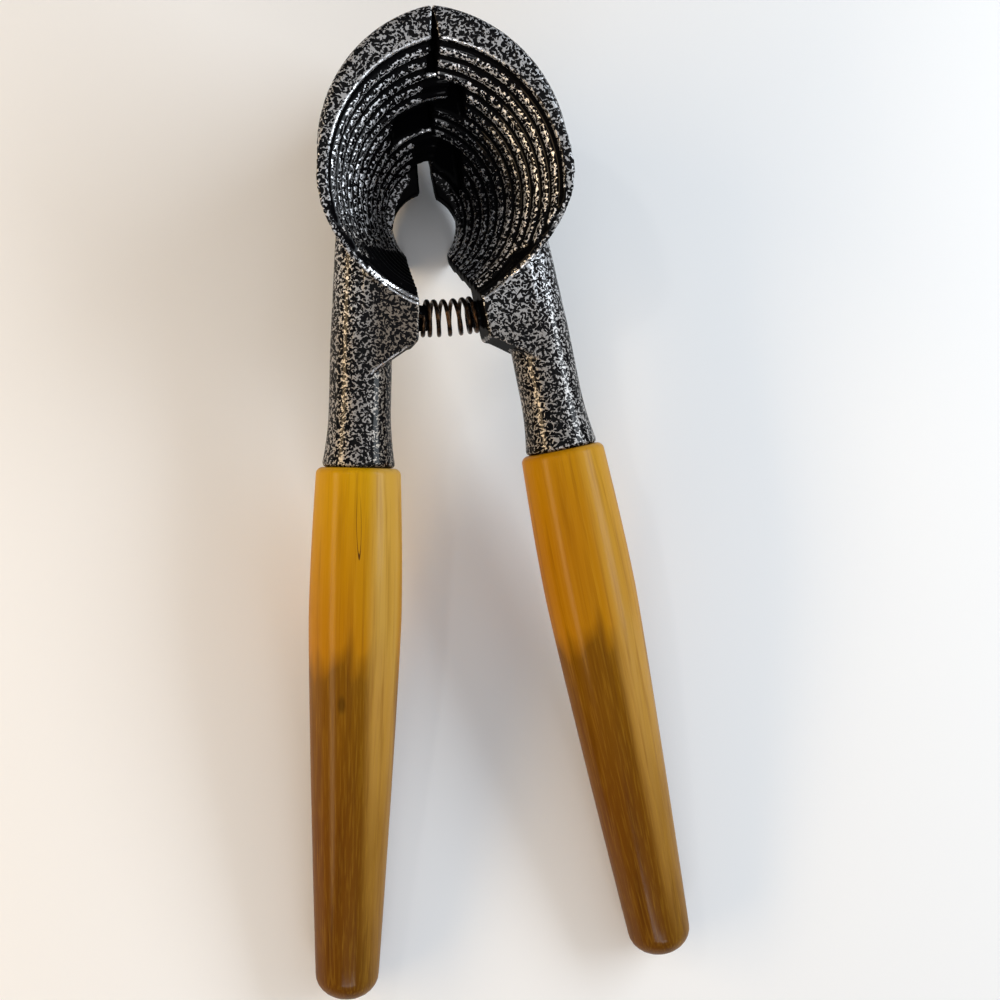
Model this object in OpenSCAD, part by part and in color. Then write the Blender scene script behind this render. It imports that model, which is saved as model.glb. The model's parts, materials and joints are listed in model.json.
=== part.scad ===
// Hand-held funnel nutcracker: two cast jaws that share a split, ribbed cup, turned wooden handles
// and a return spring. Each jaw is drawn closed, with the hinge axis on Z and the cup's mouth at z = 0,
// then opened to its rest angle and laid down so that the cup's foot and the handle ends touch z = 0.

/* [Cup] */
// Inner radius of the cup at its mouth
mouth_r = 29.4; // [27:0.1:32]
// Inner radius of the hole at the small end
hole_r = 12.2; // [11:0.1:14]
// Depth of the cup from the mouth to the small end
cup_depth = 50; // [46:0.5:56]
// Thickness of the cup wall
cup_wall = 2.6; // [2.2:0.1:3.6]
// How far the axis of each half cup lies past the closed seam
cup_offset = 8.1; // [7:0.1:9]
// Width of the rim beside the mouth
rim_w = 2.5; // [2:0.1:3.5]
// How far the rim is shifted towards the hinge
rim_shift = 5; // [4:0.1:6]
// Height of the rim's edge
rim_h = 6; // [4:0.5:8]
// How far the rim's edge slopes in below
rim_draft = 2.6; // [1:0.1:4]
// Radius that rounds the rim's outer corner
rim_round = 2; // [1:0.1:2.4]
// Where the rim starts to dip towards the arms, measured from the cup's axis
dip_start = 3; // [2:0.5:5]
// Length of the dip from the rim to the arms
dip_len = 19; // [17:0.5:20]
// Height of the ledge along the cup's inner edge at the end of the dip
ledge_h = 1.4; // [0.8:0.1:2]
// Width of that ledge
ledge_w = 1.7; // [1.2:0.1:2]
// How far the smooth band below the dip reaches past the level of the web
band_h = 4.5; // [3:0.1:6]
// Where the smooth band starts, measured from the cup's axis
band_start = 16; // [13:0.5:18]
// Thickness of the floor that rounds off the hole beside the hinge
floor_t = 4; // [3:0.1:4.5]
// Radius of the round cut in that floor
floor_r = 9.8; // [9:0.1:10.2]
// How far that cut lies from the cup's axis, away from the seam
floor_out = 2.5; // [2:0.1:3]
// How far that cut lies from the cup's axis, away from the hinge
floor_down = 2.8; // [2.2:0.1:4]
// How far the left jaw's floor reaches past the seam for each millimetre from the hinge
floor_slant = 0.1; // [0:0.01:0.1]

/* [Ribs] */
// Height of the plain lip at the mouth
lip_h = 1.2; // [0.8:0.1:2]
// Depth at which the first rib begins
rib_first = 3.6; // [3.3:0.1:4.5]
// Distance from rib to rib along the cup
rib_pitch = 3.9; // [3.5:0.1:4.5]
// Width of a rib's crest
rib_crest = 1.5; // [1.2:0.1:2]
// Length of a rib's slanted side
rib_flank = 0.5; // [0.3:0.05:0.6]
// Depth of the groove between two ribs
rib_depth = 0.9; // [0.5:0.05:1.2]

/* [Hinge] */
// Half of the angle between the jaws at rest
rest_angle = 6.6; // [6:0.1:7]
// Distance from the mouth's edge out to the hinge axis
hinge_inset = 3.8; // [3.4:0.1:4.6]
// Gap between the halves of the cup when the seam stands parallel
seam_gap = 0.7; // [0.6:0.05:1]
// Gap between the halves past the hinge, where they close on each other at rest
seam_rest = 0.25; // [0.2:0.05:0.4]
// Diameter of the hinge pin
pin_d = 4; // [3:0.1:4.5]
// Outer diameter of the hinge knuckles
barrel_d = 8.4; // [7.6:0.1:9]
// Depth of the plain seam in front of the knuckles
hinge_front = 13; // [11:0.5:14]
// Length of the first knuckle
knuckle_1 = 10; // [9:0.5:11]
// Length of the second knuckle
knuckle_2 = 9.5; // [8:0.5:11]
// Thickness of the plain plate behind the last knuckle
back_plate = 5; // [3:0.5:6]
// Distance from that plate to the small end of the cup
hinge_back = 1; // [0.5:0.1:2]
// How far the left jaw's knuckles reach past the seam
tongue_reach = 5.7; // [5:0.1:6.2]
// Room beside them in the right jaw's pockets
pocket_room = 0.7; // [0.4:0.1:1.2]
// Running gap between a knuckle and its pocket
knuckle_gap = 0.3; // [0.25:0.05:0.5]
// Metal beside a knuckle's pocket
lug_wall = 2.6; // [2:0.1:4]
// Gap around the pin in the jaw that turns on it
pin_gap = 0.05; // [0.02:0.01:0.1]
// Gap around the pin in the jaw that holds it
press_gap = 0.02; // [0.01:0.01:0.05]
// Distance from the pin's end to the back of the hinge
pin_sunk = 0.4; // [0.2:0.1:1]

/* [Arms] */
// Distance of each arm's axis from the closed seam
arm_x = 12.7; // [12:0.1:14]
// Depth of the arms' axes below the mouth
arm_drop = 19; // [17:0.5:21]
// Radius of the arm between the web and the ferrule
arm_r = 7; // [6.4:0.1:7.6]
// Radius of the arm beside the cup
neck_r = 6.4; // [5.8:0.1:7]
// Length of the rounded top of the arm
neck_len = 12; // [8:0.5:14]
// Length of the arm from the web's lower edge to the handle
arm_len = 19.5; // [18.5:0.5:28]
// Radius of the ferrule where it meets the handle
ferrule_r = 8.2; // [7.8:0.1:8.8]
// Length of the ferrule's flare
ferrule_len = 13; // [8:0.5:16]
// Radius that rounds the ferrule's lip
ferrule_round = 0.9; // [0.5:0.1:1.5]
// Thickness of the web that carries the spring
web_t = 13; // [11:0.5:15]
// How far the web's lower edge falls from the seam to the arm
web_fall = 8; // [5:0.5:10]
// Radius that rounds the web's lower corner
web_round = 1.5; // [1:0.1:4]
// How far the web reaches below the spring
web_margin = 2.3; // [0.5:0.1:3]

/* [Spring] */
// Outer diameter of the spring
spring_d = 8.6; // [7.6:0.1:9.2]
// Diameter of the spring's wire
wire_d = 0.9; // [0.7:0.05:0.95]
// Number of turns in the spring
turns = 6.5; // [5:0.5:6.5]
// How much closer the end turns lie than the mean
end_ease = 0.3; // [0:0.05:0.3]
// Gap between each end of the spring and its web
seat_gap = 0.1; // [0.05:0.05:0.2]
// Length of the peg that each end of the spring goes over
peg_len = 2.7; // [2:0.1:2.8]
// Gap between a peg and the inside of the spring
peg_gap = 0.5; // [0.3:0.05:0.8]

/* [Handles] */
// Length of a wooden handle
handle_len = 120.5; // [100:0.5:140]
// Radius of the handle's shoulder beside the ferrule
shoulder_r = 9.6; // [9:0.1:10]
// Radius that rounds the shoulder
shoulder_round = 1.6; // [0.8:0.1:2.5]
// Largest radius of the handle
belly_r = 10.5; // [10:0.1:11.5]
// Distance from the shoulder to the largest radius
belly_at = 34; // [25:1:45]
// Radius of the handle beside its round end
tail_r = 7.2; // [6.5:0.1:8]
// Height of the round end
tail_h = 5.6; // [4:0.1:6.5]
// Diameter of the steel tang
tang_d = 5; // [4:0.1:6]
// Length of the tang inside the arm
tang_in_arm = 20; // [15:0.5:20]
// Length of the tang inside the handle
tang_in_handle = 55; // [40:1:70]
// Gap around the tang that is filled with glue
glue_gap = 0.05; // [0.02:0.01:0.1]

/* [Hidden] */
$fn = 96;

// Overshoot of cuts past the faces that they open
cut = 1;
// Steps in a rounded or flared stretch of an outline
arc_steps = 8;
// Steps in the dip of the rim
dip_steps = 20;

// Inner radius of the cup at a depth below its mouth
function cup_r(depth) = mouth_r - (mouth_r - hole_r) * depth / cup_depth;
// Distance from the cup's axis to the seam's edge of a circle around it
function seam_reach(r) = sqrt(r * r - pow(cup_offset + seam_gap / 2, 2));
// Points of a quarter turn around a centre
function quarter(centre, r, start) =
    [for (i = [0 : arc_steps]) centre + r * [cos(start - 90 * i / arc_steps), sin(start - 90 * i / arc_steps)]];

cup_drop = sqrt(mouth_r * mouth_r - cup_offset * cup_offset) + hinge_inset;
rim_r = mouth_r + rim_w;
rim_drop = cup_drop - rim_shift;
barrel_r = barrel_d / 2;
pocket_w = tongue_reach + pocket_room;
lug_w = pocket_w + lug_wall;
lug_depth = cup_depth - hinge_back;
tongue_len = cup_drop - hole_r / 2;
knuckle_ends = [hinge_front, hinge_front + knuckle_1, hinge_front + knuckle_1 + knuckle_2,
                lug_depth - back_plate];

web_front = arm_drop - arm_r;
seat_drop = cup_drop + seam_reach(cup_r(web_front));
spring_drop = seat_drop + spring_d / 2;
spring_depth = web_front + web_t / 2;
boss_end = spring_drop + spring_d / 2 + web_margin;
web_end = boss_end + web_fall;
arm_end = web_end + arm_len;
peg_d = spring_d - 2 * wire_d - 2 * peg_gap;

// Places that touch the table: the corner of the cup's foot at the seam and the round end of each handle
function rest_x(x, y) = x * cos(rest_angle) + y * sin(rest_angle);
function rest_y(x, y) = y * cos(rest_angle) - x * sin(rest_angle);
foot_y = rest_y(-seam_gap / 2, -cup_drop - seam_reach(hole_r + cup_wall));
ball_y = rest_y(-arm_x, -arm_end - handle_len + tail_h);
ball_rise = cup_depth - arm_drop;
ball_far = norm([foot_y - ball_y, ball_rise]);
// Reach of the round end from its middle, where along is the handle's share of that direction
function ball_reach(along) = norm([tail_r * sqrt(1 - along * along), tail_h * along]);
function lying_tilt(guess, rounds) =
    rounds == 0 ? guess :
    lying_tilt(atan2(ball_rise, foot_y - ball_y)
               - asin(ball_reach(cos(rest_angle) * sin(guess)) / ball_far), rounds - 1);
tilt = lying_tilt(0, 5);
// Ends of the part along Y once it is laid down, from the hinge axis at the mouth
lug_y = rest_y(cup_offset, -rim_drop)
    + sqrt(rim_r * rim_r - pow(rest_x(cup_offset, -rim_drop) + seam_rest / 2, 2));
high_y = max(barrel_r * cos(tilt) + knuckle_ends[3] * sin(tilt), lug_y * cos(tilt) + lug_depth * sin(tilt));
low_y = ball_y * cos(tilt) + arm_drop * sin(tilt) - ball_reach(cos(rest_angle) * cos(tilt));
lay_y = -(high_y + low_y) / 2;
lay_z = cup_depth * cos(tilt) - foot_y * sin(tilt);

module laid_down() { translate([0, lay_y, lay_z]) rotate([tilt, 0, 0]) children(); }
module left_at_rest() { laid_down() rotate([0, 0, -rest_angle]) children(); }
module right_at_rest() { laid_down() rotate([0, 0, rest_angle]) mirror([1, 0, 0]) children(); }

// Space inside the cup: a plain lip, then ribs down to the hole
ribs = floor((cup_depth - rib_first - rib_crest) / rib_pitch);
function rib_points(a) = [
    [cup_r(a), -a],
    [cup_r(a + rib_crest), -a - rib_crest],
    [cup_r(a + rib_crest + rib_flank) + rib_depth, -a - rib_crest - rib_flank],
    [cup_r(a + rib_pitch - rib_flank) + rib_depth, -a - rib_pitch + rib_flank]];
rib_last = rib_first + ribs * rib_pitch;
cup_void = concat(
    [[0, cut], [mouth_r, cut], [mouth_r, -lip_h]],
    [[cup_r(lip_h + rib_flank) + rib_depth, -lip_h - rib_flank]],
    [[cup_r(rib_first - rib_flank) + rib_depth, -rib_first + rib_flank]],
    [for (i = [0 : ribs - 1]) each rib_points(rib_first + i * rib_pitch)],
    [[cup_r(rib_last), -rib_last], [hole_r, -cup_depth], [hole_r, -cup_depth - cut], [0, -cup_depth - cut]]);

module cup_inside() {
    translate([cup_offset, -cup_drop, 0]) rotate_extrude() polygon(cup_void);
    // Smooth band without ribs where the rim has dipped to the web
    band_end = web_front + band_h;
    intersection() {
        translate([cup_offset, -cup_drop, -band_end])
            cylinder(h = band_end, r1 = cup_r(band_end) + rib_depth, r2 = mouth_r + rib_depth);
        translate([-2 * mouth_r, -cup_drop - band_start - 2 * mouth_r, -band_end])
            cube([4 * mouth_r, 2 * mouth_r, band_end - rib_first]);
    }
}

// Outside of the cup with its rim, whole all round
module cup_outside() {
    translate([cup_offset, -cup_drop, -cup_depth])
        cylinder(h = cup_depth, r1 = hole_r + cup_wall, r2 = mouth_r + cup_wall);
    translate([cup_offset, -rim_drop, 0])
        rotate_extrude()
            polygon(concat([[0, 0]], quarter([rim_r - rim_round, -rim_round], rim_round, 90),
                           [[rim_r - rim_draft, -rim_h], [0, -rim_h]]));
}

// Cut that lets the rim dip, slowly at first, to a depth at the web
module dip_cut(depth) {
    dip_y = -cup_drop - dip_start;
    slope = [for (i = [0 : dip_steps])
        let (t = i / dip_steps) [dip_y - dip_len * t, -depth * (1 - cos(90 * t))]];
    far_y = -cup_drop - mouth_r - cup_wall - cut;
    rotate([90, 0, 90])
        linear_extrude(height = 4 * mouth_r, center = true)
            polygon(concat([[dip_y, cut]], slope, [[far_y, -depth], [far_y, cut]]));
}

// Ledge beside the cup's inner edge, which deepens along the dip
module dip_ledge() {
    ledge_end = web_front + ledge_h;
    intersection() {
        dip_cut(ledge_end);
        translate([cup_offset, -cup_drop, -ledge_end - cut])
            cylinder(h = ledge_end + 2 * cut,
                     r1 = cup_r(ledge_end + cut) + ledge_w,
                     r2 = cup_r(-cut) + ledge_w);
    }
}

// Space past the seam, slanted beyond the hinge so that the halves close up there at rest
module seam_cut() {
    near_y = -2 * cup_drop - mouth_r;
    far_y = 2 * mouth_r;
    close_x = seam_rest / 2 / cos(rest_angle);
    turn_y = (seam_gap / 2 - close_x) / tan(rest_angle);
    translate([0, 0, -cup_depth - cut])
        linear_extrude(height = cup_depth + 2 * cut)
            polygon([[-seam_gap / 2, near_y], [-seam_gap / 2, turn_y],
                     [-close_x - far_y * tan(rest_angle), far_y], [2 * rim_r, far_y], [2 * rim_r, near_y]]);
}

// Block that joins the cup's wall to the hinge
module hinge_lug() {
    intersection() {
        translate([cup_offset, -rim_drop, -lug_depth]) cylinder(h = lug_depth - rim_round, r = rim_r);
        translate([-lug_w, -tongue_len, -lug_depth]) cube([lug_w, tongue_len + barrel_r, lug_depth]);
    }
}

// One knuckle with the tongue that carries it across the seam
module tongue(from, to, reach) {
    translate([0, 0, -to + knuckle_gap / 2]) {
        cylinder(h = to - from - knuckle_gap, r = barrel_r);
        translate([-barrel_r, -tongue_len, 0]) cube([barrel_r + reach, tongue_len, to - from - knuckle_gap]);
    }
}

// Room that a jaw leaves for the other jaw's knuckle, open to the outside
module pocket(from, to) {
    r = barrel_r + knuckle_gap;
    h = to - from + knuckle_gap;
    translate([0, 0, -to - knuckle_gap / 2]) {
        cylinder(h = h, r = r);
        translate([-pocket_w, -tongue_len - cut, 0]) cube([2 * pocket_w, tongue_len + cut, h]);
        translate([-r, 0, 0]) cube([2 * r, rim_r, h]);
    }
}

// Round arm with a domed top and a flared ferrule, along the distance from the hinge
neck_end = cup_drop + neck_len;
flare_start = arm_end - ferrule_round - ferrule_len;
arm_outline = concat(
    [for (i = [0 : arc_steps])
        let (a = 90 * i / arc_steps) [neck_r * sin(a), neck_end - neck_len * cos(a)]],
    [[arm_r, web_end - web_fall]],
    [for (i = [0 : arc_steps])
        let (s = i / arc_steps) [arm_r + (ferrule_r - arm_r) * s * s, flare_start + ferrule_len * s]],
    [for (i = [1 : arc_steps])
        let (a = 90 * i / arc_steps)
            [ferrule_r - ferrule_round * (1 - cos(a)), arm_end - ferrule_round * (1 - sin(a))]],
    [[0, arm_end]]);

module along_arm() { translate([-arm_x, 0, -arm_drop]) rotate([90, 0, 0]) children(); }
module arm() { along_arm() rotate_extrude() polygon(arm_outline); }

// Flat web from the arm to the seam, which the spring pushes on
module web() {
    corner = [-seam_gap / 2 - web_round, -boss_end + web_round];
    translate([0, 0, -web_front - web_t])
        linear_extrude(height = web_t)
            polygon(concat([[-arm_x, -cup_drop], [-seam_gap / 2, -cup_drop]],
                           quarter(corner, web_round, 0), [[-arm_x, -web_end]]));
}

module spring_peg() {
    translate([-seam_gap / 2 - cut, -spring_drop, -spring_depth])
        rotate([0, 90, 0])
            cylinder(h = peg_len + cut, d = peg_d);
}

// Floor between the hinge and the hole, cut to the seam or a little past it
module cup_floor(slant) {
    cut_x = cup_offset - floor_out;
    cut_y = -cup_drop - floor_down;
    back_y = -2 * barrel_r;
    side_x = -2 * hole_r;
    translate([0, 0, -cup_depth])
        difference() {
            intersection() {
                union() {
                    translate([cup_offset, -cup_drop, 0]) cylinder(h = floor_t, r = hole_r + cup_wall / 2);
                    translate([-barrel_r, -tongue_len, floor_t / 2])
                        cube([2 * barrel_r, tongue_len, floor_t / 2]);
                }
                linear_extrude(height = floor_t)
                    polygon([[side_x, cut_y], [-seam_gap / 2 - slant * cut_y, cut_y],
                             [-seam_gap / 2 - slant * back_y, back_y], [side_x, back_y]]);
            }
            translate([cut_x, cut_y, -cut]) cylinder(h = floor_t + 2 * cut, r = floor_r);
        }
}

// One casting, as the left jaw stands when closed. own lists the first end of its own knuckles,
// other those of the other jaw's, reach is how far its tongues cross the seam, slant is how its floor
// leans past the seam, and bore_gap is the gap around the pin.
module jaw(own, other, reach, slant, bore_gap) {
    color("#4a4b4f")
        difference() {
            union() {
                difference() {
                    union() {
                        difference() {
                            cup_outside();
                            dip_cut(web_front);
                        }
                        hinge_lug();
                    }
                    seam_cut();
                }
                for (k = own) tongue(knuckle_ends[k], knuckle_ends[k + 1], reach);
                arm();
                web();
            }
            cup_inside();
            dip_ledge();
            for (k = other) pocket(knuckle_ends[k], knuckle_ends[k + 1]);
            translate([0, 0, -cup_depth - cut])
                cylinder(h = cup_depth + cut - hinge_front, d = pin_d + 2 * bore_gap);
            along_arm()
                translate([0, 0, arm_end - tang_in_arm])
                    cylinder(h = tang_in_arm + cut, d = tang_d + 2 * glue_gap);
        }
    color("#4a4b4f") spring_peg();
    color("#4a4b4f") cup_floor(slant);
}

left_knuckles = [0, 2];
right_knuckles = [1];
module left_jaw() { left_at_rest() jaw(left_knuckles, right_knuckles, tongue_reach, floor_slant, press_gap); }
module right_jaw() { right_at_rest() jaw(right_knuckles, left_knuckles, 0, 0, pin_gap); }

// Pin pushed in from the small end, sunk a little below the back of the hinge
module hinge_pin() {
    pin_back = lug_depth - pin_sunk;
    color("#8d8f92")
        left_at_rest()
            translate([0, 0, -pin_back])
                cylinder(h = pin_back - hinge_front - knuckle_gap, d = pin_d);
}

// Wire of the spring: a helix around an arc about the hinge, with a short straight end at each web
coil_r = (spring_d - wire_d) / 2;
rings_per_turn = 8;
wire_sides = 6;
coil_rings = rings_per_turn * turns;
seat_angle = rest_angle + asin(seam_gap / 2 / spring_drop);
arc_len = 2 * spring_drop * seat_angle * PI / 180 - 2 * seat_gap;
coil_len = arc_len - 2 * wire_d;
// Place on the arc at a length from its middle, and the direction of the arc there
function arc_angle(s) = s / spring_drop * 180 / PI;
function arc_point(s, out, up) =
    let (a = arc_angle(s), r = spring_drop + out) [r * sin(a), -r * cos(a), -spring_depth + up];
function coil_pos(u) = coil_len * (u - end_ease * sin(360 * u) / (2 * PI) - 0.5);
function coil_point(i) =
    let (u = i / coil_rings, a = 360 * i / rings_per_turn)
        arc_point(coil_pos(u), coil_r * sin(a), coil_r * cos(a));
turn_end = 360 * turns;
wire_path = concat(
    [arc_point(-arc_len / 2, 0, coil_r)],
    [for (i = [0 : coil_rings]) coil_point(i)],
    [arc_point(arc_len / 2, coil_r * sin(turn_end), coil_r * cos(turn_end))]);
wire_last = len(wire_path) - 1;

function unit(v) = v / norm(v);
function wire_dir(i) =
    i == 0 ? unit(wire_path[1] - wire_path[0]) :
    i == wire_last ? unit(wire_path[wire_last] - wire_path[wire_last - 1]) :
    unit(unit(wire_path[i + 1] - wire_path[i]) + unit(wire_path[i] - wire_path[i - 1]));
// Direction from the coil's own axis out to a point of the wire
function wire_out(i) =
    let (p = wire_path[i], r = norm([p[0], p[1]]))
        unit(p - [p[0] * spring_drop / r, p[1] * spring_drop / r, -spring_depth]);
function ring(i) =
    let (t = wire_dir(i), o = wire_out(i), n = unit(o - (o * t) * t), b = cross(t, n))
        [for (k = [0 : wire_sides - 1])
            wire_path[i] + wire_d / 2 * (cos(360 * k / wire_sides) * n + sin(360 * k / wire_sides) * b)];
wire_points = [for (i = [0 : wire_last]) each ring(i)];
function side(i, k) = i * wire_sides + k % wire_sides;
wire_faces = concat(
    [for (i = [0 : wire_last - 1], k = [0 : wire_sides - 1]) [side(i, k), side(i + 1, k), side(i + 1, k + 1)]],
    [for (i = [0 : wire_last - 1], k = [0 : wire_sides - 1]) [side(i, k), side(i + 1, k + 1), side(i, k + 1)]],
    [for (k = [1 : wire_sides - 2]) [side(0, 0), side(0, k), side(0, k + 1)]],
    [for (k = [1 : wire_sides - 2]) [side(wire_last, 0), side(wire_last, k + 1), side(wire_last, k)]]);

// Least gap between the spring's turns, measured on points of the wire most of a turn apart
turn_gaps = [for (i = [1 : wire_last - rings_per_turn], j = [i + rings_per_turn - 2 : wire_last - 1])
    norm(wire_path[i] - wire_path[j]) - wire_d];
echo(least_gap_in_spring_mm = min(turn_gaps));

module return_spring() {
    color("#3b3128") laid_down() polyhedron(points = wire_points, faces = wire_faces);
}

module tang() {
    color("#9a9da1")
        along_arm()
            translate([0, 0, arm_end - tang_in_arm + glue_gap])
                cylinder(h = tang_in_arm + tang_in_handle - 2 * glue_gap, d = tang_d);
}

module left_tang() { left_at_rest() tang(); }
module right_tang() { right_at_rest() tang(); }

// Turned handle: a round shoulder, a swell, a slow taper and a round end
swell_steps = 12;
taper_power = 1.2;
ball_at = handle_len - tail_h;
handle_outline = concat(
    [[0, 0]],
    [for (i = [0 : arc_steps])
        let (a = 90 * i / arc_steps)
            [shoulder_r - shoulder_round * (1 - sin(a)), shoulder_round * (1 - cos(a))]],
    [for (i = [1 : swell_steps])
        let (s = i / swell_steps)
            [shoulder_r + (belly_r - shoulder_r) * sin(90 * s), shoulder_round + (belly_at - shoulder_round) * s]],
    [for (i = [1 : swell_steps])
        let (s = i / swell_steps)
            [belly_r - (belly_r - tail_r) * pow(s, taper_power), belly_at + (ball_at - belly_at) * s]],
    [for (i = [1 : arc_steps])
        let (a = 90 * i / arc_steps) [tail_r * cos(a), ball_at + tail_h * sin(a)]]);

module handle() {
    color("#b9801f")
        along_arm()
            translate([0, 0, arm_end])
                difference() {
                    rotate_extrude() polygon(handle_outline);
                    translate([0, 0, -cut]) cylinder(h = tang_in_handle + cut, d = tang_d + 2 * glue_gap);
                }
}

module left_handle() { left_at_rest() handle(); }
module right_handle() { right_at_rest() handle(); }

left_jaw();
right_jaw();
hinge_pin();
return_spring();
left_tang();
right_tang();
left_handle();
right_handle();
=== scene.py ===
import json
import math

import bpy
from mathutils import Matrix, Vector


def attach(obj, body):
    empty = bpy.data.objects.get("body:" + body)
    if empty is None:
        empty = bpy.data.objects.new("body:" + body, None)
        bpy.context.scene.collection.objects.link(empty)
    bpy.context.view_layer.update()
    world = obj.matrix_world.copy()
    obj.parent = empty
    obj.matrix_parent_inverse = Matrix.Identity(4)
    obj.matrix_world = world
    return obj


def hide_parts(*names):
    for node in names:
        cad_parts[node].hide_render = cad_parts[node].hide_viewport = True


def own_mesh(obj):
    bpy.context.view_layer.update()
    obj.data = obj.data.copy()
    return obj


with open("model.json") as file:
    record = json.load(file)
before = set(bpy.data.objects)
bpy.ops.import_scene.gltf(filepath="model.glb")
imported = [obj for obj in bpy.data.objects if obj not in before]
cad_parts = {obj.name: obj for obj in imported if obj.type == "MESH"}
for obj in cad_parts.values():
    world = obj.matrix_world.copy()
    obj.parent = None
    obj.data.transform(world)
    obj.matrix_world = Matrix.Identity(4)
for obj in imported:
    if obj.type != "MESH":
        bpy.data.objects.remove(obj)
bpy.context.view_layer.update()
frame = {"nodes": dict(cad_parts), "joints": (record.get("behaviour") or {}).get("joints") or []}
mm = 0.001

# The tool as it lies: hinge line, lean on the table, and how far each half stands open
tool = {"openAngle": 6.6, "armAcross": 12.7, "armDown": 19.0, "handleFrom": 94.28}
squeeze = frame["joints"][0]
hingeAt = Vector(squeeze["pos_m"])
lean = math.asin(squeeze["axis"][1])
toolFrame = Matrix.Translation(hingeAt) @ Matrix.Rotation(lean, 4, "X")
sides = {"left": -1, "right": 1}


def halfFrame(side):  # a half as it is drawn closed, turned to where it rests
    return toolFrame @ Matrix.Rotation(math.radians(tool["openAngle"]) * sides[side], 4, "Z")


def handleFrame(side):  # z runs down the handle, from the ferrule
    seat = Vector((sides[side] * tool["armAcross"], -tool["handleFrom"], -tool["armDown"])) * mm
    return halfFrame(side) @ Matrix.Translation(seat) @ Matrix.Rotation(math.pi / 2, 4, "X")


def clearSelection():
    if bpy.context.object and bpy.context.object.mode != "OBJECT":
        bpy.ops.object.mode_set(mode="OBJECT")
    bpy.ops.object.select_all(action="DESELECT")


def makeActive(obj):
    clearSelection()
    obj.select_set(True)
    bpy.context.view_layer.objects.active = obj


def applyModifier(obj, kind, **settings):
    makeActive(obj)
    step = obj.modifiers.new(kind.lower(), kind)
    for key, value in settings.items():
        setattr(step, key, value)
    bpy.ops.object.modifier_apply(modifier=step.name)


def setPlace(obj, place):  # moves the piece, then puts that move into its mesh
    obj.matrix_world = place
    makeActive(obj)
    bpy.ops.object.transform_apply(location=True, rotation=True, scale=True)


# Materials

def newLook(name):
    look = bpy.data.materials.new(name)
    look.use_nodes = True
    return look, look.node_tree.nodes, look.node_tree.links


def addNode(nodes, kind, **settings):
    node = nodes.new(kind)
    for key, value in settings.items():
        setattr(node, key, value)
    return node


def addNoise(nodes, links, coords, scale, detail=2.0, rough=0.5, distort=0.0):
    noise = addNode(nodes, "ShaderNodeTexNoise")
    noise.inputs["Scale"].default_value = scale
    noise.inputs["Detail"].default_value = detail
    noise.inputs["Roughness"].default_value = rough
    noise.inputs["Distortion"].default_value = distort
    links.new(coords, noise.inputs["Vector"])
    return noise.outputs["Fac"]


def addMath(nodes, links, how, first, second):
    node = addNode(nodes, "ShaderNodeMath", operation=how)
    for place, value in enumerate((first, second)):
        if isinstance(value, (int, float)):
            node.inputs[place].default_value = value
        else:
            links.new(value, node.inputs[place])
    return node.outputs[0]


def addRange(nodes, links, value, low, high, toLow=0.0, toHigh=1.0, smooth=False):
    node = addNode(nodes, "ShaderNodeMapRange", clamp=True)
    node.interpolation_type = "SMOOTHSTEP" if smooth else "LINEAR"
    for name, number in (("From Min", low), ("From Max", high), ("To Min", toLow), ("To Max", toHigh)):
        node.inputs[name].default_value = number
    links.new(value, node.inputs["Value"])
    return node.outputs["Result"]


def addRamp(nodes, links, value, stops):
    ramp = addNode(nodes, "ShaderNodeValToRGB")
    marks = ramp.color_ramp.elements
    while len(marks) < len(stops):
        marks.new(0.5)
    for mark, (place, colour) in zip(marks, stops):
        mark.position = place
        mark.color = (*colour, 1.0)
    links.new(value, ramp.inputs["Fac"])
    return ramp.outputs["Color"]


def addMix(nodes, links, share, first, second, how="MIX"):
    mix = addNode(nodes, "ShaderNodeMix", data_type="RGBA", blend_type=how)
    for name, value in (("Factor", share), ("A", first), ("B", second)):
        socket = mix.inputs[name]
        if isinstance(value, (int, float)):
            socket.default_value = value
        elif isinstance(value, tuple):
            socket.default_value = (*value, 1.0)
        else:
            links.new(value, socket)
    return mix.outputs["Result"]


def addBump(nodes, links, height, distance, strength, shader):
    bump = addNode(nodes, "ShaderNodeBump")
    bump.inputs["Distance"].default_value = distance
    bump.inputs["Strength"].default_value = strength
    links.new(height, bump.inputs["Height"])
    links.new(bump.outputs["Normal"], shader.inputs["Normal"])


# The darkest fleck colour is painted shade; the brightest is both the rubbed bare metal and the flecks' painted
# highlight
enamel = {
    "black": (0.0025, 0.0025, 0.003), "silver": (0.50, 0.50, 0.51), "polishAndLitFleck": (0.88, 0.88, 0.90),
    "shadedFleck": (0.24, 0.205, 0.17), "fleck": 1000.0, "patch": 1350.0, "patchDepth": 0.07,
    "cut": 0.463, "edge": 0.014, "sunk": 0.16, "rubSpread": 0.2, "metallic": 0.6,
    "blackRough": 0.2, "silverRough": 0.36, "bareRough": 0.06, "gloss": 0.0,
    "coat": 0.32, "hollowCoat": 0.08, "coatRough": 0.08, "bump": 0.4, "bumpStrength": 0.6,
}


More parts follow.
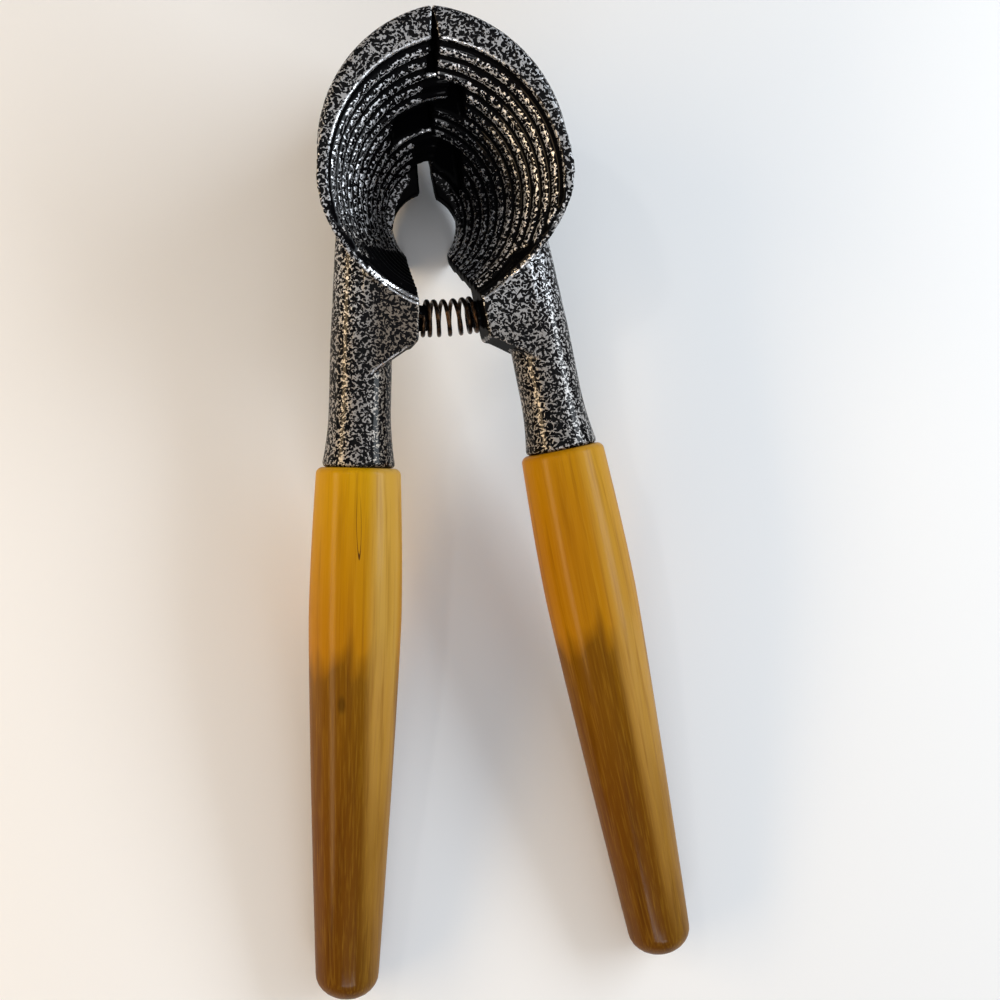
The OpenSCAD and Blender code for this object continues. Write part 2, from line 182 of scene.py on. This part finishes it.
def hammeredEnamel():
    look, nodes, links = newLook("hammeredEnamel")
    shader = nodes["Principled BSDF"]
    coords = addNode(nodes, "ShaderNodeTexCoord").outputs["Object"]
    fleck = addNoise(nodes, links, coords, enamel["fleck"], detail=1.5, distort=0.3)
    patch = addNoise(nodes, links, coords, enamel["patch"], detail=1.0)
    paintedShade = addNode(nodes, "ShaderNodeAttribute", attribute_name="paintedShade").outputs["Fac"]
    rubbed = addNode(nodes, "ShaderNodeAttribute", attribute_name="rubbed").outputs["Fac"]
    paintedFleckLight = addNode(nodes, "ShaderNodeAttribute", attribute_name="paintedFleckLight").outputs["Fac"]
    # ridges along the noise's middle level, like small worms
    offMiddle = addMath(nodes, links, "ABSOLUTE", addMath(nodes, links, "SUBTRACT", fleck, 0.5), 0.0)
    level = addMath(nodes, links, "SUBTRACT", 0.5, offMiddle)
    uneven = addRange(nodes, links, patch, 0.3, 0.7, -enamel["patchDepth"], enamel["patchDepth"])
    level = addMath(nodes, links, "ADD", level, uneven)
    sunk = addRange(nodes, links, paintedShade, 0.35, 0.9, 0.0, enamel["sunk"])  # painted shade: flecks stay on the crests and fade out in grooves and pockets, which stay black
    shown = addMath(nodes, links, "SUBTRACT", level, sunk)
    cutFrom = enamel["cut"] - enamel["edge"]
    cutTo = enamel["cut"] + enamel["edge"]
    silver = addRange(nodes, links, shown, cutFrom, cutTo, smooth=True)
    # edges rubbed down to bright metal
    spread = addRange(nodes, links, fleck, 0.35, 0.65, -enamel["rubSpread"], enamel["rubSpread"])
    bare = addRange(nodes, links, addMath(nodes, links, "ADD", rubbed, spread), 0.45, 0.7, smooth=True)
    # fleck colour from painted shade through plain silver to painted highlight
    bright = addRamp(nodes, links, paintedFleckLight, [
        (0.0, enamel["shadedFleck"]), (0.5, enamel["silver"]), (1.0, enamel["polishAndLitFleck"])])
    colour = addMix(nodes, links, silver, enamel["black"], bright)
    links.new(addMix(nodes, links, bare, colour, enamel["polishAndLitFleck"]), shader.inputs["Base Color"])
    metal = addRange(nodes, links, silver, 0.0, 1.0, 0.0, enamel["metallic"])
    links.new(addMath(nodes, links, "MAXIMUM", metal, bare), shader.inputs["Metallic"])
    rough = addRange(nodes, links, silver, 0.0, 1.0, enamel["blackRough"], enamel["silverRough"])
    bareRough = addRange(nodes, links, bare, 0.0, 1.0, 0.0, enamel["bareRough"])
    links.new(addMath(nodes, links, "ADD", rough, bareRough), shader.inputs["Roughness"])
    shader.inputs["Specular IOR Level"].default_value = enamel["gloss"]
    coat = addRange(nodes, links, paintedShade, 0.2, 1.0, enamel["coat"], enamel["hollowCoat"])
    links.new(coat, shader.inputs["Coat Weight"])
    shader.inputs["Coat Roughness"].default_value = enamel["coatRough"]
    addBump(nodes, links, level, enamel["bump"] * mm, enamel["bumpStrength"], shader)
    return look


wood = {
    # the right handle's top and honey colours are darker: painted shade
    "top": {"left": (0.58, 0.31, 0.002), "right": (0.48, 0.22, 0.002)},
    "honey": {"left": (0.49, 0.23, 0.0015), "right": (0.43, 0.178, 0.0015)},
    "warm": (0.43, 0.180, 0.001), "olive": (0.195, 0.079, 0.001), "brown": (0.148, 0.052, 0.0005),
    "tail": (0.120, 0.042, 0.0005), "streak": (0.62, 0.52, 0.35), "pale": (0.62, 0.34, 0.03),
    "crack": (0.10, 0.032, 0.002), "knot": (0.05, 0.022, 0.0),
    # painted light: colours of a lighter strip of window light down the upper right of each handle
    "sheenTop": {"left": (0.63, 0.355, 0.057), "right": (0.55, 0.275, 0.020)},
    "sheenMid": {"left": (0.56, 0.320, 0.057), "right": (0.50, 0.250, 0.030)},
    "sheen": (0.52, 0.275, 0.05), "sheenTail": (0.33, 0.158, 0.022),
    "sheenFrom": {"left": (0.15, 0.45), "right": (0.0, 0.3)}, "sheenSoft": 2.0, "reach": 10.0,
    "cloud": (140.0, 40.0), "streaks": (700.0, 12.0), "fibre": (2600.0, 50.0),
    "wander": 0.05, "streakShare": 0.6, "paleShare": 0.18, "rough": (0.36, 0.5),
    "gloss": 0.03, "coat": 0.18, "coatRough": 0.16, "bump": 0.2, "bumpStrength": 0.25,
}

# A crack and a knot in the left handle, in mm from the middle of its upper end
woodMarks = {"left": {
    "crack": {"across": -0.5, "skew": 0.03, "halfWidth": 0.5, "middle": 12.0, "halfLength": 7.5, "soft": 0.24,
              "fade": (-0.9, -0.2)},
    "knot": {"place": (-3.0, 9.6, 52.0), "size": (1.2, 3.0, 2.8), "core": 0.3, "depth": 0.6},
}}


def varnishedWood(side, length):
    look, nodes, links = newLook("varnishedWood_" + side)
    shader = nodes["Principled BSDF"]
    coords = addNode(nodes, "ShaderNodeTexCoord").outputs["Object"]
    turn = addNode(nodes, "ShaderNodeMapping", vector_type="TEXTURE")  # into the handle's own frame
    place = handleFrame(side)
    turn.inputs["Location"].default_value = place.to_translation()
    turn.inputs["Rotation"].default_value = place.to_euler()
    links.new(coords, turn.inputs["Vector"])
    own = turn.outputs["Vector"]
    split = addNode(nodes, "ShaderNodeSeparateXYZ")
    links.new(own, split.inputs[0])
    along = addMath(nodes, links, "DIVIDE", split.outputs["Z"], length)

    def stretched(across, lengthwise, detail, rough, distort=0.0):
        mapping = addNode(nodes, "ShaderNodeMapping")
        mapping.inputs["Scale"].default_value = (across, across, lengthwise)
        links.new(own, mapping.inputs["Vector"])
        return addNoise(nodes, links, mapping.outputs["Vector"], 1.0, detail, rough, distort)

    cloud = stretched(*wood["cloud"], detail=2.0, rough=0.5)
    streaks = stretched(*wood["streaks"], detail=3.0, rough=0.6, distort=0.3)
    fibre = stretched(*wood["fibre"], detail=2.0, rough=0.6)
    ragged = addRange(nodes, links, cloud, 0.3, 0.7, -wood["wander"], wood["wander"])
    wander = addMath(nodes, links, "ADD", along, ragged)
    # the wood darkens down the handle; the drop to olive and brown about a third of the way down is a painted
    # shadow
    colour = addRamp(nodes, links, wander, [
        (0.0, wood["top"][side]), (0.18, wood["honey"][side]), (0.33, wood["warm"]), (0.39, wood["olive"]),
        (0.70, wood["brown"]), (1.0, wood["tail"])])
    sheen = addRamp(nodes, links, wander, [
        (0.0, wood["sheenTop"][side]), (0.33, wood["sheenMid"][side]), (0.42, wood["sheen"]),
        (0.75, wood["sheenTail"])])
    colour = addMix(nodes, links, paintedSheenStrip(nodes, links, split, wander, wood["sheenFrom"][side]), colour, sheen)
    darker = addRange(nodes, links, streaks, 0.5, 0.7, 0.0, wood["streakShare"])
    colour = addMix(nodes, links, darker, colour, wood["streak"], "MULTIPLY")
    paler = addRange(nodes, links, fibre, 0.5, 0.75, 0.0, wood["paleShare"])
    colour = addMix(nodes, links, paler, colour, wood["pale"])
    if side in woodMarks:
        colour = crackMark(nodes, links, split, colour, woodMarks[side]["crack"])
        colour = knotMark(nodes, links, own, colour, woodMarks[side]["knot"])
    links.new(colour, shader.inputs["Base Color"])
    links.new(addRange(nodes, links, fibre, 0.3, 0.7, *wood["rough"]), shader.inputs["Roughness"])
    shader.inputs["Specular IOR Level"].default_value = wood["gloss"]
    shader.inputs["Coat Weight"].default_value = wood["coat"]
    shader.inputs["Coat Roughness"].default_value = wood["coatRough"]
    addBump(nodes, links, streaks, wood["bump"] * mm, wood["bumpStrength"], shader)
    return look


def paintedSheenStrip(nodes, links, split, along, begin):  # painted light: a lighter strip painted down the upper right of the handle
    across = addMath(nodes, links, "DIVIDE", split.outputs["X"], wood["reach"] * mm)
    edge = addRange(nodes, links, across, 0.85, 1.0, 1.0, 0.0, smooth=True)
    tail = addRange(nodes, links, along, 0.75, 1.0, 0.9, 0.3, smooth=True)
    upper = addRange(nodes, links, split.outputs["Y"], -wood["sheenSoft"] * mm, wood["sheenSoft"] * mm)
    strip = addRange(nodes, links, across, *begin, smooth=True)
    for fade in (edge, tail, upper):
        strip = addMath(nodes, links, "MULTIPLY", strip, fade)
    return strip


def knotMark(nodes, links, own, colour, knot):
    spot = addNode(nodes, "ShaderNodeMapping", vector_type="TEXTURE")
    spot.inputs["Location"].default_value = Vector(knot["place"]) * mm
    spot.inputs["Scale"].default_value = Vector(knot["size"]) * mm
    links.new(own, spot.inputs["Vector"])
    away = addNode(nodes, "ShaderNodeVectorMath", operation="LENGTH")
    links.new(spot.outputs["Vector"], away.inputs[0])
    stain = addRange(nodes, links, away.outputs["Value"], knot["core"], 1.0, knot["depth"], 0.0, smooth=True)
    return addMix(nodes, links, stain, colour, wood["knot"])


def crackMark(nodes, links, split, colour, crack):
    # a long thin loop, open at its upper end
    across = addMath(nodes, links, "SUBTRACT", split.outputs["X"], crack["across"] * mm)
    skew = addMath(nodes, links, "MULTIPLY", split.outputs["Z"], crack["skew"])
    across = addMath(nodes, links, "SUBTRACT", across, skew)
    across = addMath(nodes, links, "DIVIDE", across, crack["halfWidth"] * mm)
    down = addMath(nodes, links, "SUBTRACT", split.outputs["Z"], crack["middle"] * mm)
    down = addMath(nodes, links, "DIVIDE", down, crack["halfLength"] * mm)
    acrossSquare = addMath(nodes, links, "MULTIPLY", across, across)
    ring = addMath(nodes, links, "ADD", acrossSquare, addMath(nodes, links, "MULTIPLY", down, down))
    off = addMath(nodes, links, "ABSOLUTE", addMath(nodes, links, "SUBTRACT", ring, 1.0), 0.0)
    line = addRange(nodes, links, off, crack["soft"] / 2, crack["soft"], 1.0, 0.0, smooth=True)
    line = addMath(nodes, links, "MULTIPLY", line, addRange(nodes, links, down, *crack["fade"]))
    front = addMath(nodes, links, "GREATER_THAN", split.outputs["Y"], 0.0)
    return addMix(nodes, links, addMath(nodes, links, "MULTIPLY", line, front), colour, wood["crack"])


springWire = {"dark": (0.012, 0.008, 0.006), "bronze": (0.085, 0.045, 0.022), "wear": 700.0,
              "rough": (0.24, 0.42)}


def springSteel():
    look, nodes, links = newLook("springSteel")
    shader = nodes["Principled BSDF"]
    coords = addNode(nodes, "ShaderNodeTexCoord").outputs["Object"]
    worn = addNoise(nodes, links, coords, springWire["wear"], detail=3.0, rough=0.6)
    bronzed = addRange(nodes, links, worn, 0.45, 0.65)
    colour = addMix(nodes, links, bronzed, springWire["dark"], springWire["bronze"])
    links.new(colour, shader.inputs["Base Color"])
    shader.inputs["Metallic"].default_value = 1.0
    links.new(addRange(nodes, links, worn, 0.3, 0.7, *springWire["rough"]), shader.inputs["Roughness"])
    return look


pinFinish = {"steel": (0.52, 0.52, 0.53), "shadedFleck": (0.30, 0.29, 0.28), "grain": 900.0, "rough": (0.28, 0.45)}


def plainSteel():
    look, nodes, links = newLook("plainSteel")
    shader = nodes["Principled BSDF"]
    coords = addNode(nodes, "ShaderNodeTexCoord").outputs["Object"]
    brushed = addNoise(nodes, links, coords, pinFinish["grain"], detail=4.0, rough=0.65)
    colour = addMix(nodes, links, brushed, pinFinish["steel"], pinFinish["shadedFleck"])
    links.new(colour, shader.inputs["Base Color"])
    shader.inputs["Metallic"].default_value = 1.0
    links.new(addRange(nodes, links, brushed, 0.3, 0.7, *pinFinish["rough"]), shader.inputs["Roughness"])
    return look


# Castings: the CAD jaws with softened edges. Each point notes how much painted shade it gets (grooves, pockets,
# seam faces, under the web and the cup's shaded walls), how near to an edge that is rubbed bright, and how much
# painted light or shade its flecks get. All in mm on a closed left half, which the right half mirrors

casting = {"voxel": 0.41, "smooth": 0.5, "rounds": 2, "weld": 0.002, "mouthR": 29.4, "holeR": 12.2,
           "depth": 50.0, "wall": 2.6, "cupAcross": 8.1, "cupDown": 32.06, "insideFrom": 0.8, "ribDepth": 0.9,
           "dipAt": 3.0, "dipLength": 19.0, "webAt": 12.0, "webThick": 13.0,
           "webEdge": [(-1.85, -66.78), (-12.7, -74.78)], "armR": 7.3, "seam": 0.35, "seamRest": 0.126,
           "pocketW": 6.6, "pocketY": -27.0,
           "pockets": {"left": [(22.7, 32.8)], "right": [(12.7, 23.3), (32.2, 44.3)]}}

shadeZones = {"seamSkin": 0.12, "holeSkin": 0.2, "floorAt": 45.6, "webTop": 0.6, "webBelow": 0.5, "webAbove": 0.35,
           "frontY": -46.5, "frontSlope": 0.14, "dimFrom": 12.0, "dimFade": 8.0, "dimY": (-40.0, -35.0),
           "dimShare": 0.45}

rubs = {"width": 0.9, "lipFade": {"left": (-34.0, -24.0), "right": (-24.0, -8.0)}, "lipLeast": 0.35,
        "dipFade": (5.0, 9.0), "ledgeH": 1.4, "ledgeW": 1.7, "ledgeFrom": 0.5, "ledgeSkin": 0.7,
        "ledgeFade": (8.0, 11.0), "ledgeShare": 0.8, "webInset": 2.0, "webShare": 0.85, "tongueSkin": 0.2,
        "tongueEdges": {"left": [(13.3, -0.5), (20.2, -13.0), (33.0, -9.0)], "right": []}}

fleckLightPaint = {"cupY": (-44.0, -30.0), "cupLeast": 0.15, "deepDim": 0.6, "rim": 0.5, "armDim": 0.25,
          "armY": (58.0, 66.0), "webY": (44.0, 52.0), "webX": (-15.0, -9.0)}


def portion(value, low, high):  # 0 at low, 1 at high
    return min(max((value - low) / (high - low), 0.0), 1.0)


def coneAt(depth):  # radius of the rib crests at a depth
    return casting["mouthR"] - (casting["mouthR"] - casting["holeR"]) * depth / casting["depth"]


def fromCupAxis(x, y):
    return math.hypot(x - casting["cupAcross"], y + casting["cupDown"])


def dipAt(y, deepest):  # how far the rim has dipped
    start = casting["cupDown"] + casting["dipAt"]
    return deepest * (1 - math.cos(math.pi / 2 * portion(-y, start, start + casting["dipLength"])))


def webEdgeAt(x):  # where the web's lower edge runs
    (nearX, nearY), (farX, farY) = casting["webEdge"]
    return nearY + (farY - nearY) * portion(-x, -nearX, -farX)


def underWeb(x, y, depth):  # on the web's lower face, clear of the arm
    farX, farY = casting["webEdge"][1]
    inThickness = casting["webAt"] + shadeZones["webTop"] < depth < casting["webAt"] + casting["webThick"]
    onEdge = farY - shadeZones["webBelow"] < y < webEdgeAt(x) + shadeZones["webAbove"]
    offArm = x > farX and math.hypot(x - farX, depth - tool["armDown"]) > casting["armR"]
    return inThickness and onEdge and offArm


def deepInside(y, depth):  # 1 deep in the cup, beside the hinge
    fade = portion(depth, shadeZones["dimFrom"], shadeZones["dimFrom"] + shadeZones["dimFade"])
    return fade * portion(y, *shadeZones["dimY"])


def paintedShadeAt(side, x, y, depth):  # painted shade: 1 in grooves, pockets, under the web, on the hole's floor and on the cup's shaded walls; also 1 on the seam faces; 0 on crests and outside
    openAt = casting["seamRest"] + y * math.tan(math.radians(tool["openAngle"]))
    if x > -max(casting["seam"], openAt) - shadeZones["seamSkin"]:
        return 1.0
    if x > -casting["pocketW"] and y > casting["pocketY"]:
        for top, bottom in casting["pockets"][side]:
            if top < depth < bottom:
                return 1.0
    if underWeb(x, y, depth):
        return 1.0
    if not casting["insideFrom"] < depth < casting["depth"]:
        return 0.0
    fromAxis = fromCupAxis(x, y)
    if depth > shadeZones["floorAt"] and fromAxis < casting["holeR"] - shadeZones["holeSkin"]:
        return 1.0
    recess = (fromAxis - coneAt(depth)) / casting["ribDepth"]
    if recess > casting["wall"] / 2 / casting["ribDepth"]:
        return 0.0
    thin = 0.0
    if side == "right":  # painted shade: fewer flecks deep in the right half
        thin = shadeZones["dimShare"] * deepInside(y, depth)
    elif depth > casting["webAt"]:  # painted shadow: the left half's wall in front stays black
        thin = shadeZones["frontY"] + shadeZones["frontSlope"] * depth - y
    return min(max(recess, thin, 0.0), 1.0)


def ledgeRub(fromAxis, y, depth):  # the floor of the ledge outside the dipped rim
    floorAt = dipAt(y, casting["webAt"] + rubs["ledgeH"])
    onLedge = 0 < fromAxis - coneAt(floorAt) < rubs["ledgeW"] and abs(depth - floorAt) < rubs["ledgeSkin"]
    return rubs["ledgeShare"] * portion(floorAt, *rubs["ledgeFade"]) if onLedge else 0.0


def webRub(x, y, depth):  # the web's lower edge
    nearX, farX = (corner[0] for corner in casting["webEdge"])
    if not farX + rubs["webInset"] < x < nearX:
        return 0.0
    return rubs["webShare"] * (1 - math.hypot(y - webEdgeAt(x), depth - casting["webAt"]) / rubs["width"])


def rubbedAt(side, x, y, depth):  # 1 on the mouth's inner edge, the ledge and the tongues' edges
    fromAxis = fromCupAxis(x, y)
    dipped = dipAt(y, casting["webAt"])
    edgeR = coneAt(dipped) + (rubs["ledgeW"] if dipped > rubs["ledgeFrom"] else 0.0)
    kept = max(portion(y, *rubs["lipFade"][side]), portion(dipped, *rubs["dipFade"]), rubs["lipLeast"])
    rubbed = kept * (1 - math.hypot(fromAxis - edgeR, depth - dipped) / rubs["width"])
    if side == "left":
        rubbed = max(rubbed, ledgeRub(fromAxis, y, depth), webRub(x, y, depth))
    for edgeAt, fromX in rubs["tongueEdges"][side]:
        if x > fromX and y > casting["pocketY"]:
            past = fromAxis - coneAt(edgeAt)
            outside = max(past - casting["ribDepth"] - rubs["tongueSkin"], -past - rubs["tongueSkin"], 0.0)
            rubbed = max(rubbed, 1 - math.hypot(outside, depth - edgeAt) / rubs["width"])
    return max(rubbed, 0.0)


def paintedFleckLightAt(side, x, y, depth):  # how bright the flecks are, in painted light and shade: most inside the cup (painted highlight), less down the arms and on the cup's shaded walls, least on the left web (painted shade)
    inside = casting["insideFrom"] < depth < casting["depth"]
    if inside and fromCupAxis(x, y) < coneAt(depth) + casting["wall"] / 2:
        if side == "left":
            return fleckLightPaint["cupLeast"] + (1 - fleckLightPaint["cupLeast"]) * portion(y, *fleckLightPaint["cupY"])
        return 1 - fleckLightPaint["deepDim"] * deepInside(y, depth)
    outsideFleckLight = fleckLightPaint["rim"] - fleckLightPaint["armDim"] * portion(-y, *fleckLightPaint["armY"])
    if side == "left":
        onWeb = portion(-y, *fleckLightPaint["webY"]) * portion(x, *fleckLightPaint["webX"])
        outsideFleckLight = min(outsideFleckLight, fleckLightPaint["rim"] * (1 - onWeb))
    return outsideFleckLight


def markSurface(piece, side):
    toHalf = halfFrame(side).inverted()
    marks = {"paintedShade": paintedShadeAt, "rubbed": rubbedAt, "paintedFleckLight": paintedFleckLightAt}
    for name in marks:
        piece.data.attributes.new(name, "FLOAT", "POINT")
    for index, point in enumerate(piece.data.vertices):
        spot = toHalf @ point.co / mm
        for name, valueAt in marks.items():
            value = valueAt(side, -sides[side] * spot.x, spot.y, -spot.z)
            piece.data.attributes[name].data[index].value = value


def softCasting(side, look):
    node = frame["nodes"][side + "_jaw"]
    piece = bpy.data.objects.new("casting_" + side, node.data.copy())
    bpy.context.scene.collection.objects.link(piece)
    makeActive(piece)
    bpy.ops.object.mode_set(mode="EDIT")
    bpy.ops.mesh.select_all(action="SELECT")
    bpy.ops.mesh.remove_doubles(threshold=casting["weld"] * mm)
    bpy.ops.object.mode_set(mode="OBJECT")
    applyModifier(piece, "REMESH", mode="VOXEL", voxel_size=casting["voxel"] * mm)
    applyModifier(piece, "SMOOTH", factor=casting["smooth"], iterations=casting["rounds"])
    markSurface(piece, side)
    makeActive(piece)
    bpy.ops.object.shade_smooth()
    piece.data.materials.clear()
    piece.data.materials.append(look)
    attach(piece, side + "_half")
    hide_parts(side + "_jaw")
    print("casting", side, len(piece.data.polygons), "faces")


# Handles: turned by extruding a ring down the handle and sizing it at each step

handle = {"length": 120.5, "shoulderR": 9.6, "shoulderRound": 1.6, "bellyR": 10.5, "bellyAt": 34.0,
          "tailR": 7.2, "tailDome": 5.6, "boreR": 2.55, "boreDepth": 55.0, "power": 1.2, "smoothAngle": 40.0,
          "points": 72, "roundSteps": 6, "swellSteps": 10, "taperSteps": 22, "domeSteps": 8}


def handleStations():  # radius and place of each ring, from the bottom of the bore to the tail
    h = handle
    stations = [(h["boreR"], h["boreDepth"]), (h["boreR"], 0.0)]
    for step in range(h["roundSteps"] + 1):
        a = math.pi / 2 * step / h["roundSteps"]
        ringR = h["shoulderR"] - h["shoulderRound"] * (1 - math.sin(a))
        stations.append((ringR, h["shoulderRound"] * (1 - math.cos(a))))
    for step in range(1, h["swellSteps"] + 1):
        s = step / h["swellSteps"]
        ringR = h["shoulderR"] + (h["bellyR"] - h["shoulderR"]) * math.sin(math.pi / 2 * s)
        stations.append((ringR, h["shoulderRound"] + (h["bellyAt"] - h["shoulderRound"]) * s))
    domeAt = h["length"] - h["tailDome"]
    for step in range(1, h["taperSteps"] + 1):
        s = step / h["taperSteps"]
        ringR = h["bellyR"] - (h["bellyR"] - h["tailR"]) * s ** h["power"]
        stations.append((ringR, h["bellyAt"] + (domeAt - h["bellyAt"]) * s))
    for step in range(1, h["domeSteps"]):
        a = math.pi / 2 * step / h["domeSteps"]
        stations.append((h["tailR"] * math.cos(a), domeAt + h["tailDome"] * math.sin(a)))
    return stations


def turnedHandle(side, look):
    stations = handleStations()
    clearSelection()
    startR, startAt = stations[0]
    bpy.ops.mesh.primitive_circle_add(vertices=handle["points"], radius=startR * mm, fill_type="NGON",
                                      location=(0, 0, startAt * mm))
    piece = bpy.context.object
    piece.name = "handle_" + side
    bpy.ops.object.transform_apply(location=True, rotation=True, scale=True)
    bpy.ops.object.mode_set(mode="EDIT")
    bpy.ops.mesh.select_mode(type="EDGE")
    bpy.ops.mesh.select_all(action="SELECT")
    bpy.ops.mesh.region_to_loop()
    lastR, lastAt = startR, startAt
    for ringR, ringAt in stations[1:]:
        bpy.ops.mesh.extrude_edges_move(TRANSFORM_OT_translate={"value": (0, 0, (ringAt - lastAt) * mm)})
        grow = ringR / lastR
        bpy.ops.transform.resize(value=(grow, grow, 1), center_override=(0, 0, ringAt * mm))
        lastR, lastAt = ringR, ringAt
    bpy.ops.mesh.extrude_edges_move(TRANSFORM_OT_translate={"value": (0, 0, (handle["length"] - lastAt) * mm)})
    bpy.ops.mesh.merge(type="CENTER")
    bpy.ops.mesh.select_all(action="SELECT")
    bpy.ops.mesh.normals_make_consistent(inside=False)
    bpy.ops.object.mode_set(mode="OBJECT")
    setPlace(piece, handleFrame(side))
    bpy.ops.object.shade_smooth_by_angle(angle=math.radians(handle["smoothAngle"]))
    piece.data.materials.append(look)
    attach(piece, side + "_half")
    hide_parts(side + "_handle")
    print("handle", side, len(piece.data.polygons), "faces")


# Spring: one wound wire between the two webs, on an arc about the hinge

spring = {"outerD": 8.6, "wireD": 1.0, "turns": 6.5, "ease": 0.3, "armR": 60.18, "down": 18.5,
          "seatAngle": 6.933, "seatGap": 0.1, "perTurn": 28, "wireSides": 5, "smoothAngle": 50.0}


def springPath():
    coilR = (spring["outerD"] - spring["wireD"]) / 2
    arcLength = 2 * spring["armR"] * math.radians(spring["seatAngle"]) - 2 * spring["seatGap"]
    coilLength = arcLength - 2 * spring["wireD"]
    rings = round(spring["perTurn"] * spring["turns"])

    def onArc(place, outward, upward):
        a = place / spring["armR"]
        r = spring["armR"] + outward
        return Vector((r * math.sin(a), -r * math.cos(a), upward - spring["down"])) * mm

    path = [onArc(-arcLength / 2, 0, coilR)]
    for ring in range(rings + 1):
        u = ring / rings
        a = 2 * math.pi * spring["turns"] * u
        place = coilLength * (u - spring["ease"] * math.sin(2 * math.pi * u) / (2 * math.pi) - 0.5)
        path.append(onArc(place, coilR * math.sin(a), coilR * math.cos(a)))
    endTurn = 2 * math.pi * spring["turns"]
    path.append(onArc(arcLength / 2, coilR * math.sin(endTurn), coilR * math.cos(endTurn)))
    return [toolFrame @ point for point in path]


def woundSpring(look):
    wire = bpy.data.curves.new("returnSpring", "CURVE")
    wire.dimensions = "3D"
    wire.bevel_depth = spring["wireD"] / 2 * mm
    wire.bevel_resolution = spring["wireSides"]
    wire.use_fill_caps = True
    path = springPath()
    line = wire.splines.new("POLY")
    line.points.add(len(path) - 1)
    for point, spot in zip(line.points, path):
        point.co = (*spot, 1.0)
    piece = bpy.data.objects.new("returnSpring", wire)
    bpy.context.scene.collection.objects.link(piece)
    makeActive(piece)
    bpy.ops.object.convert(target="MESH")
    piece = bpy.context.object
    bpy.ops.object.shade_smooth_by_angle(angle=math.radians(spring["smoothAngle"]))
    piece.data.materials.clear()
    piece.data.materials.append(look)
    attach(piece, "left_half")
    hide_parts("return_spring")
    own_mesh(piece)
    print("spring", len(piece.data.polygons), "faces")


enamelLook = hammeredEnamel()
for side in sides:
    softCasting(side, enamelLook)
    turnedHandle(side, varnishedWood(side, handle["length"] * mm))
woundSpring(springSteel())

steelLook = plainSteel()
for name in ("hinge_pin", "left_tang", "right_tang"):
    node = frame["nodes"][name]
    node.data.materials.clear()
    node.data.materials.append(steelLook)
print("pins done")


# Floor, light and camera

stage = {"floorSize": 6.0, "floorDrop": 0.2, "floorColour": (0.91, 0.91, 0.91), "floorRough": 0.9,
         "world": (0.93, 0.95, 1.0), "worldStrength": 0.22, "lampsAimAt": (0.0, 0.03, 0.02)}


def paleFloor():
    clearSelection()
    bpy.ops.mesh.primitive_plane_add(size=stage["floorSize"], location=(0, 0, -stage["floorDrop"] * mm))
    floor = bpy.context.object
    floor.name = "floor"
    look, nodes, links = newLook("paleFloor")
    nodes["Principled BSDF"].inputs["Base Color"].default_value = (*stage["floorColour"], 1.0)
    nodes["Principled BSDF"].inputs["Roughness"].default_value = stage["floorRough"]
    floor.data.materials.append(look)


def addLamp(name, place, size, power, colour):
    lamp = bpy.data.lights.new(name, "AREA")
    lamp.shape = "RECTANGLE"
    lamp.size, lamp.size_y = size
    lamp.energy = power
    lamp.color = colour
    holder = bpy.data.objects.new(name, lamp)
    bpy.context.scene.collection.objects.link(holder)
    holder.location = place
    toward = Vector(stage["lampsAimAt"]) - Vector(place)
    holder.rotation_euler = toward.to_track_quat("-Z", "Y").to_euler()


paleFloor()
addLamp("overhead", (0.0, 0.05, 1.0), (1.0, 1.0), 0.7, (1.0, 1.0, 1.0))
addLamp("windowRight", (0.62, 0.0, 0.55), (1.0, 0.8), 1.0, (0.94, 0.97, 1.0))
addLamp("coolRight", (0.45, 0.1, 0.32), (0.5, 0.2), 1.9, (0.85, 0.93, 1.0))
addLamp("warmLeft", (-0.5, 0.0, 0.27), (0.6, 0.12), 1.9, (1.0, 0.72, 0.40))
addLamp("frontStrip", (-0.05, -0.6, 0.5), (0.5, 0.1), 1.35, (0.97, 0.98, 1.0))
addLamp("smallLamp", (-0.22, 0.16, 0.42), (0.02, 0.02), 0.1, (1.0, 0.97, 0.92))

world = bpy.data.worlds.new("softRoom")
bpy.context.scene.world = world
world.use_nodes = True
world.node_tree.nodes["Background"].inputs["Color"].default_value = (*stage["world"], 1.0)
world.node_tree.nodes["Background"].inputs["Strength"].default_value = stage["worldStrength"]

# The photograph's viewpoint, from the hinge line at the mouth of the cup
eye = {"place": (-36.4, -91.2, 253.3), "turn": (-2.13, -6.91, -5.17), "lens": 43.32, "sensor": 36.0,
       "shiftX": 0.05, "nearest": 10.0}
camera = bpy.data.objects.new("camera", bpy.data.cameras.new("camera"))
bpy.context.scene.collection.objects.link(camera)
camera.data.lens = eye["lens"]
camera.data.sensor_width = eye["sensor"]
camera.data.shift_x = eye["shiftX"]
camera.data.clip_start = eye["nearest"] * mm
tiltX, tiltY, tiltZ = (math.radians(angle) for angle in eye["turn"])
facing = Matrix.Rotation(tiltY, 4, "Y") @ Matrix.Rotation(tiltX, 4, "X") @ Matrix.Rotation(tiltZ, 4, "Z")
camera.matrix_world = toolFrame @ Matrix.Translation(Vector(eye["place"]) * mm) @ facing
bpy.context.scene.camera = camera
bpy.context.scene.view_settings.view_transform = "Standard"
